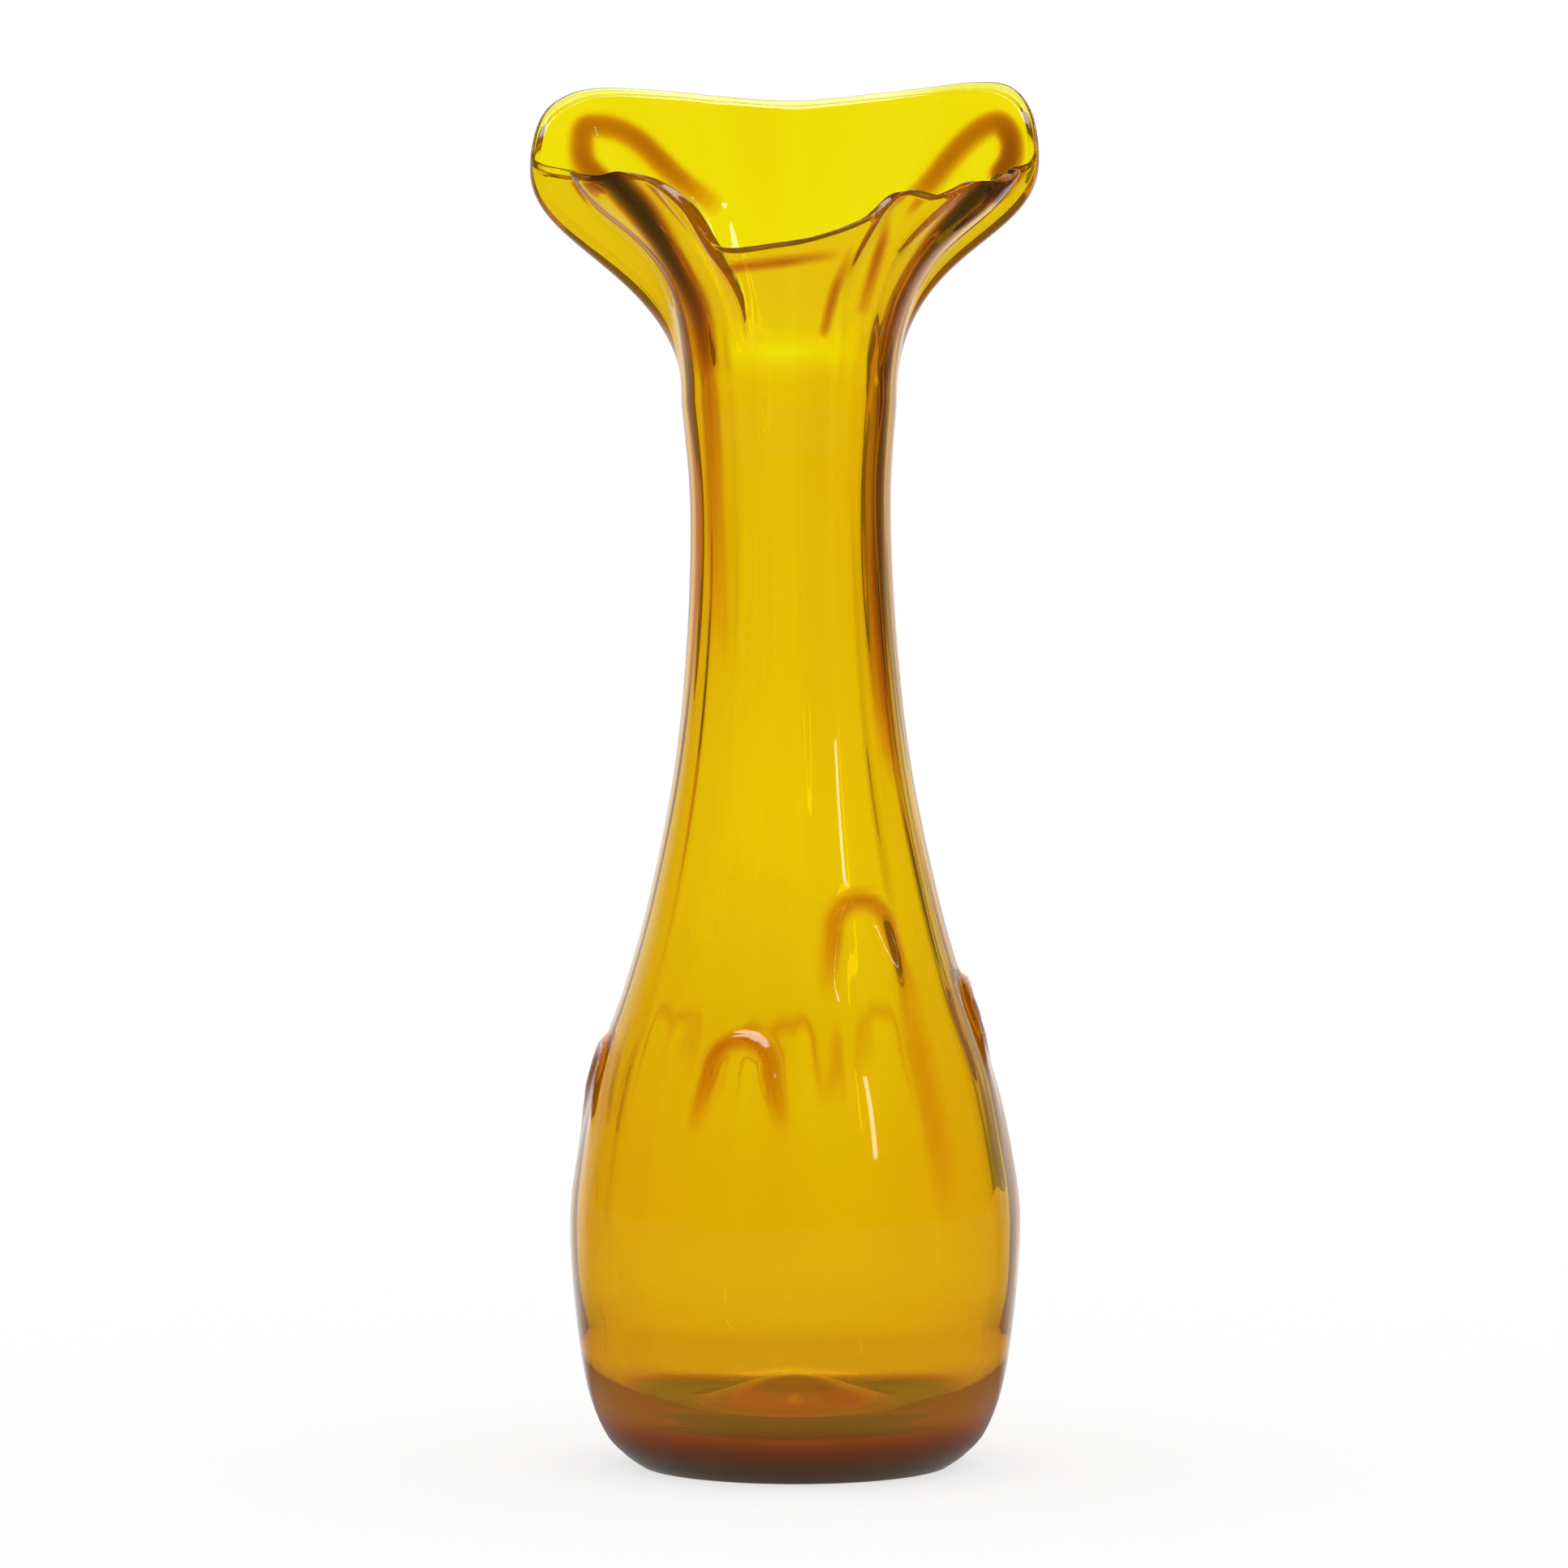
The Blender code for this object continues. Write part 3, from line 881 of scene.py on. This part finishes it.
    def rows(self) -> tuple[Grid, Grid, Array, Array]:
        """All rows of the closed wall, from the foot over the rim to the floor.

        Returns:
            Points, outward directions, each row's skin and each point's painted shade.
        """
        places, bearings = self.places(), self.bearings
        outer = self.outer_grid(bearings, places)
        outward = self.outward_grid(bearings, places)
        wall, painted_shade = self.glass_at(outer, places)
        inner = outer - outward * wall[..., None]
        bead = self.bead_grid(outer, inner)
        kept = inner[..., 2].mean(axis=1) > self.floor_height + self.floor_rise
        inside, inside_outward = inner[kept][::-1], outward[kept][::-1]
        floor = self.floor_grid(inside[-1])
        grid = np.concatenate([outer, bead, inside, floor])
        directions = np.concatenate([
            outward, np.repeat(outward[-1:], len(bead), axis=0),
            inside_outward, np.repeat(inside_outward[-1:], len(floor), axis=0),
        ])
        painted_shades = np.concatenate([
            painted_shade, np.repeat(painted_shade[-1:], len(bead), axis=0),
            painted_shade[kept][::-1], np.zeros(floor.shape[:2]),
        ])
        skins = np.full(len(grid), Skin.INNER.value)
        skins[:len(outer)] = Skin.OUTER.value
        return grid, directions, skins, painted_shades

    def mesh(self, name: str) -> bpy.types.Mesh:
        """Closed mesh of the wall that carries its outward directions, skins and painted shade.

        Args:
            name: Name of the mesh.

        Returns:
            The mesh, with faces that point out of the glass.
        """
        grid, directions, skins, painted_shades = self.rows()
        count, around = grid.shape[:2]
        foot = np.array([[0.0, 0.0, grid[0, 0, 2]]])
        middle = np.array([[0.0, 0.0, self.floor_height + self.kick_up]])
        points = np.concatenate([grid.reshape(-1, 3), foot, middle])
        index = np.arange(count * around).reshape(count, around)
        side = np.roll(index, -1, axis=1)
        quads = np.stack([index[:-1], side[:-1], side[1:], index[1:]], axis=-1).reshape(-1, 4)
        foot_fan = [(side[0, i], index[0, i], count * around) for i in range(around)]
        floor_fan = [(index[-1, i], side[-1, i], count * around + 1) for i in range(around)]
        mesh = bpy.data.meshes.new(name)
        mesh.from_pydata(points.tolist(), [], quads.tolist() + foot_fan + floor_fan)
        # The last two values are those of the middles of the foot and the floor.
        aim = np.concatenate([directions.reshape(-1, 3), np.zeros((2, 3))])
        side_of = np.append(np.repeat(skins, around), (Skin.OUTER.value, Skin.INNER.value))
        carried = (
            ("outward", "FLOAT_VECTOR", "vector", aim.ravel()),
            ("skin", "FLOAT", "value", side_of),
            ("painted_shade", "FLOAT", "value", np.append(painted_shades.ravel(), (0.0, 0.0))),
        )
        for label, kind, key, values in carried:
            mesh.attributes.new(label, kind, "POINT").data.foreach_set(key, values)
        mesh.shade_smooth()
        return mesh


@dataclass(frozen=True)
class Nip:
    """One nip on the wall.

    Attributes:
        node: Its CAD node.
        degrees: Its bearing from the front lip.
        crest: Height of its crest.
        rise: Its share of the full ridge.
        painted_shade: How much painted shade its ridge adds to the colour.
    """

    node: str
    degrees: float
    crest: float
    rise: float
    painted_shade: float


class TreeWriter(NodeWriter):
    """Writer of a Geometry Nodes tree."""

    def __init__(self, name: str) -> None:
        """Starts a tree that has only its two ends.

        Args:
            name: Name of the tree.
        """
        super().__init__(bpy.data.node_groups.new(name, "GeometryNodeTree"))
        for way in ("INPUT", "OUTPUT"):
            self.tree.interface.new_socket(
                "Geometry", in_out=way, socket_type="NodeSocketGeometry")
        self.entry = self.add("NodeGroupInput")
        self.exit = self.add("NodeGroupOutput")

    def size(self, name: str, value: float) -> Socket:
        """Adds a named input.

        Args:
            name: Name of the input.
            value: Its first value.

        Returns:
            Socket that gives the value inside the tree.
        """
        item = self.tree.interface.new_socket(name, in_out="INPUT", socket_type="NodeSocketFloat")
        item.default_value = value
        return self.entry.outputs[name]

    def attribute(self, name: str, kind: str) -> Socket:
        """Reads a named attribute of the mesh.

        Args:
            name: Name of the attribute.
            kind: Blender's name of its type.

        Returns:
            Socket of its value.
        """
        node = self.add("GeometryNodeInputNamedAttribute")
        node.data_type = kind
        self.fill(node, {"Name": name})
        return node.outputs["Attribute"]


@dataclass
class Nips:
    """The arched nips round the bowl, each with the finger scoop pressed below it."""

    places: tuple[Nip, ...] = (
        Nip("nip_front_left", -16.0, 92.0 * MM, 1.0, 0.24),
        Nip("nip_front_right", 26.5, 120.5 * MM, 0.8, 0.25),
        Nip("nip_right", 86.0, 103.0 * MM, 1.3, 0.3),
        Nip("nip_back_right", 147.0, 94.0 * MM, 0.35, 0.07),
        Nip("nip_back", 181.0, 91.5 * MM, 0.45, 0.1),
        Nip("nip_back_left", -133.0, 94.5 * MM, 0.35, 0.07),
        Nip("nip_left", -82.0, 90.0 * MM, 0.9, 0.25),
    )
    width: float = 13.0 * MM
    ridge_height: float = 1.2 * MM
    ridge_width: float = 1.4 * MM
    leg_length: float = 15.0 * MM
    leg_spread: float = 0.25
    scoop_depth: float = 0.7 * MM
    scoop_edge: float = 6.5 * MM
    scoop_length: float = 52.0 * MM
    scoop_taper: float = 1.5
    press_through: float = 0.3

    def tree(self, glass: bpy.types.Material) -> bpy.types.NodeTree:
        """Writes the tree that raises one arch, presses its scoop and paints shade along the arch.

        Args:
            glass: Material that the tree gives to the mesh.

        Returns:
            The tree, with named inputs for the nip's place and sizes.
        """
        write = TreeWriter("pull_nip")
        bearing = write.size("Bearing", 0.0)
        crest = write.size("Crest Height", self.places[0].crest)
        half = write.size("Half Width", self.width / 2)
        ridge = write.size("Ridge Height", self.ridge_height)
        ridge_width = write.size("Ridge Width", self.ridge_width)
        leg = write.size("Leg Length", self.leg_length)
        spread = write.size("Leg Spread", self.leg_spread)
        depth = write.size("Scoop Depth", self.scoop_depth)
        edge = write.size("Scoop Edge", self.scoop_edge)
        length = write.size("Scoop Length", self.scoop_length)
        through = write.size("Press Through", self.press_through)
        shade_depth = write.size("Painted Shade Depth", 0.0)

        # How far each point lies outside the middle line of the arch.
        where = write.add("GeometryNodeInputPosition")
        x, y, z = write.add("ShaderNodeSeparateXYZ", {0: where.outputs["Position"]}).outputs
        around = write.math("ARCTAN2", x, write.times(y, -1.0))
        turn = write.math("WRAP", write.math("SUBTRACT", around, bearing), math.pi, -math.pi)
        across = write.times(turn, write.math("SQRT", write.square_sum(x, y)))
        drop = write.math("SUBTRACT", write.math("SUBTRACT", crest, z), half)
        below = write.math("MAXIMUM", drop, 0.0)
        above = write.math("MINIMUM", drop, 0.0)
        wide = write.math("ADD", half, write.times(below, spread))
        out = write.math("SQRT", write.square_sum(across, above))
        off = write.math("SUBTRACT", out, wide)

        # The ridge along that line, and the scoop inside it. Both run out below.
        part = write.math("POWER", write.math("DIVIDE", off, ridge_width), 2.0)
        bell = write.math("EXPONENT", write.times(part, -1.0))
        leg_left = write.math("SUBTRACT", 1.0, write.math("DIVIDE", below, leg), clamp=True)
        arch = write.times(bell, write.ramp(leg_left, 0.0, 1.0))
        raised = write.times(arch, ridge)
        inward = write.math("DIVIDE", write.times(off, -1.0), edge)
        scoop_left = write.math("SUBTRACT", 1.0, write.math("DIVIDE", below, length), clamp=True)
        taper = write.math("POWER", scoop_left, self.scoop_taper)
        pressed = write.times(write.times(write.ramp(inward, 0.0, 1.0), taper), depth)

        # The inner skin takes none of the ridge and only a share of the scoop.
        skin = write.attribute("skin", "FLOAT")
        pressed = write.times(pressed, write.mix(skin, through, 1.0))
        lift = write.math("SUBTRACT", write.times(raised, skin), pressed)
        push = write.add("ShaderNodeVectorMath")
        push.operation = "SCALE"
        write.fill(push, {0: write.attribute("outward", "FLOAT_VECTOR"), "Scale": lift})
        # Painted shade along the arch darkens the colour.
        shade_share = write.times(arch, shade_depth)
        store = write.add("GeometryNodeStoreNamedAttribute", {
            "Geometry": write.entry.outputs["Geometry"], "Name": "painted_shade",
            "Value": write.math("ADD", write.attribute("painted_shade", "FLOAT"), shade_share),
        })
        move = write.add("GeometryNodeSetPosition", {
            "Geometry": store.outputs["Geometry"], "Offset": push.outputs[0]})
        realize = write.add("GeometryNodeRealizeInstances", {0: move.outputs["Geometry"]})
        dress = write.add("GeometryNodeSetMaterial", {
            "Geometry": realize.outputs["Geometry"], "Material": glass})
        write.join(dress.outputs["Geometry"], write.exit.inputs["Geometry"])
        return write.tree

    def pull_from(self, wall: bpy.types.Object, glass: bpy.types.Material) -> None:
        """Adds one modifier for each nip to the wall.

        Args:
            wall: Object whose mesh carries outward directions, skins and painted shade.
            glass: Material of the nips and the wall.
        """
        tree = self.tree(glass)
        keys = {
            item.name: item.identifier
            for item in tree.interface.items_tree if item.in_out == "INPUT"
        }
        for nip in self.places:
            modifier = wall.modifiers.new(nip.node, "NODES")
            modifier.node_group = tree
            modifier[keys["Bearing"]] = math.radians(nip.degrees)
            modifier[keys["Crest Height"]] = nip.crest
            modifier[keys["Ridge Height"]] = self.ridge_height * nip.rise
            modifier[keys["Painted Shade Depth"]] = nip.painted_shade


@dataclass
class Vase:
    """The whole vase as one continuous skin of glass."""

    wall: BlownWall = field(default_factory=BlownWall)
    nips: Nips = field(default_factory=Nips)
    glass: AmberGlass = field(default_factory=AmberGlass)

    def build(self) -> bpy.types.Object:
        """Builds the glass, dresses it and lets it stand for the CAD nodes.

        Returns:
            The finished object at the origin.
        """
        rough = bpy.data.objects.new("vase_rough", self.wall.mesh("vase_rough"))
        bpy.context.scene.collection.objects.link(rough)
        glass = self.glass.material()
        self.nips.pull_from(rough, glass)
        bpy.context.view_layer.update()
        evaluated = rough.evaluated_get(bpy.context.evaluated_depsgraph_get())
        mesh = bpy.data.meshes.new_from_object(evaluated)
        bpy.data.objects.remove(rough, do_unlink=True)
        mesh.name = "vase_glass"
        mesh.materials.clear()
        mesh.materials.append(glass)
        vase = bpy.data.objects.new("vase_glass", mesh)
        bpy.context.scene.collection.objects.link(vase)
        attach(vase, "root")
        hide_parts("vase_body", *[nip.node for nip in self.nips.places])
        LOG.info("vase_glass: %d faces", len(mesh.polygons))
        return vase


@dataclass
class Studio:
    """Camera, table top and soft light round the vase."""

    # Camera, with its sensor in millimetres.
    distance: float = 1.05
    eye_height: float = 0.145
    eye_across: float = -2.34 * MM
    view_width: float = 335.2 * MM
    sensor_width: float = 36.0

    # Table top.
    floor_size: float = 6.0
    floor_drop: float = 0.2 * MM

    # Brightness of the room in the gloss on the glass, and of its ceiling through
    # the glass, with the degrees up where that starts and is full.
    gloss_front: float = 0.04
    gloss_back: float = 0.9
    ceiling: float = 0.35
    ceiling_turn: Pair = (22.0, 45.0)
    lamps: tuple[Panel, ...] = (
        Panel(43.5, 1.0, 22.5, 7.5, 0.6, 7.0),
        Panel(0.0, 85.0, 72.0, 8.0, 6.0, 7.0),
    )
    flags: tuple[Panel, ...] = (
        Panel(128.0, 14.0, 0.0, 60.0, 8.0, -0.75),
    )

    def place_camera(self) -> None:
        """Sets up the camera where the photograph was taken from."""
        data = bpy.data.cameras.new("camera")
        data.sensor_width = self.sensor_width
        data.lens = data.sensor_width * self.distance / self.view_width
        camera = bpy.data.objects.new("camera", data)
        camera.location = (self.eye_across, -self.distance, self.eye_height)
        camera.rotation_euler = (QUARTER_TURN, 0.0, 0.0)
        bpy.context.scene.collection.objects.link(camera)
        bpy.context.scene.camera = camera

    def lay_floor(self) -> None:
        """Lays the table top just under the foot."""
        half = self.floor_size / 2
        corners = [(-half, -half), (half, -half), (half, half), (-half, half)]
        mesh = bpy.data.meshes.new("floor")
        mesh.from_pydata([(x, y, -self.floor_drop) for x, y in corners], [], [(0, 1, 2, 3)])
        mesh.materials.append(PaleFloor().material())
        floor = bpy.data.objects.new("floor", mesh)
        bpy.context.scene.collection.objects.link(floor)

    def light_world(self) -> None:
        """Fills the world with plain white light and hangs the panels that the glass shows."""
        world = bpy.data.worlds.new("studio")
        bpy.context.scene.world = world
        world.use_nodes = True
        write = ShaderWriter(world.node_tree)
        rays = write.add("ShaderNodeLightPath")
        seen = write.add("ShaderNodeTexCoord").outputs["Generated"]
        x, y, z = write.add("ShaderNodeSeparateXYZ", {0: seen}).outputs
        turn = write.math("DEGREES", write.math("ARCTAN2", x, write.times(y, -1.0)))
        tall = write.math("DEGREES", write.math("ARCSINE", z))
        gloss = write.ramp(y, *BACKWARD, self.gloss_front, self.gloss_back)
        for lamp in self.lamps:
            gloss = write.math("ADD", gloss, write.panel(turn, tall, lamp))
        through = write.ramp(tall, *self.ceiling_turn, 1.0, self.ceiling)
        for panel in self.flags + self.lamps:
            through = write.math("ADD", through, write.panel(turn, tall, panel))
        through = write.mix(rays.outputs["Is Transmission Ray"], 1.0, through)
        strength = write.mix(write.mirrored(rays), through, gloss)
        write.fill(world.node_tree.nodes["Background"], {"Color": WHITE, "Strength": strength})

    def set_up(self) -> None:
        """Builds the whole studio."""
        self.place_camera()
        self.lay_floor()
        self.light_world()
        bpy.context.scene.view_settings.view_transform = "Standard"


def main() -> None:
    """Builds the studio and the vase, and reports each piece."""
    logging.basicConfig(level=logging.INFO, format="%(name)s: %(message)s")
    Studio().set_up()
    Vase().build()


if __name__ == "__main__":
    main()
